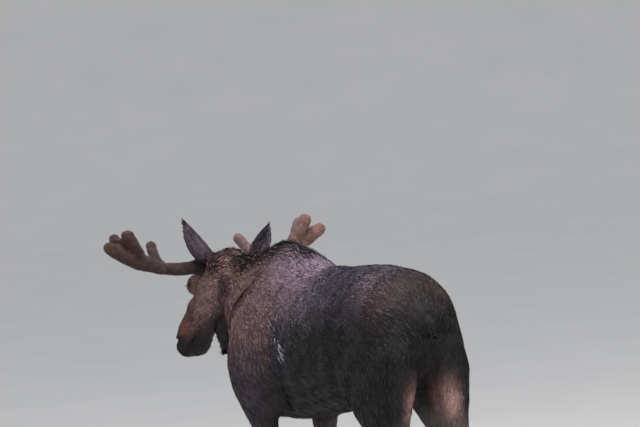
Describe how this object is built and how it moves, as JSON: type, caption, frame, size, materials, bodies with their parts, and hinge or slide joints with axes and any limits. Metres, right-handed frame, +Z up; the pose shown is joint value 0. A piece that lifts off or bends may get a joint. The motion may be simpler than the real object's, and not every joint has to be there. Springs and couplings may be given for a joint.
{
  "type": "moose",
  "caption": "Standing bull moose in summer coat with young velvet antlers, a still life-size figure resting on its four hooves.",
  "frame": {"origin": "middle of the bounding box at floor level, under the belly", "axes": "+Z up, the nose points along -Y, and the animal's left side is +X"},
  "size_m": [1.456, 2.4934, 2.0024],
  "materials": {
    "body_hair": "long coarse hair, near black, lying back and down",
    "neck_hair": "long brown hair with a dark mane",
    "face_hair": "short close hair over skin",
    "leg_hair": "short close hair",
    "ear_hair": "short hair with dark edges",
    "velvet": "short dense fuzz over growing antler",
    "horn": "dull dark horn",
    "eye": "wet and glossy"
  },
  "bodies": {
    "root": {"antler_left_beam": "velvet", "antler_left_brow_tine": "velvet", "antler_left_palm": "velvet", "antler_left_tine_front": "velvet", "antler_left_tine_middle": "velvet", "antler_left_tine_rear": "velvet", "antler_right_beam": "velvet", "antler_right_brow_tine": "velvet", "antler_right_palm": "velvet", "antler_right_snag": "velvet", "antler_right_tine_front": "velvet", "antler_right_tine_middle": "velvet", "antler_right_tine_rear": "velvet", "bell": "body_hair", "dewclaw_front_left_inner": "horn", "dewclaw_front_left_outer": "horn", "dewclaw_front_right_inner": "horn", "dewclaw_front_right_outer": "horn", "dewclaw_hind_left_inner": "horn", "dewclaw_hind_left_outer": "horn", "dewclaw_hind_right_inner": "horn", "dewclaw_hind_right_outer": "horn", "ear_left": "ear_hair", "ear_right": "ear_hair", "eye_left": "eye", "eye_right": "eye", "head": "face_hair", "hoof_front_left": "horn", "hoof_front_right": "horn", "hoof_hind_left": "horn", "hoof_hind_right": "horn", "leg_front_left": "leg_hair", "leg_front_right": "leg_hair", "leg_hind_left": "leg_hair", "leg_hind_right": "leg_hair", "lower_jaw": "face_hair", "neck": "neck_hair", "tail": "body_hair", "trunk": "body_hair"}
  },
  "joints": []
}
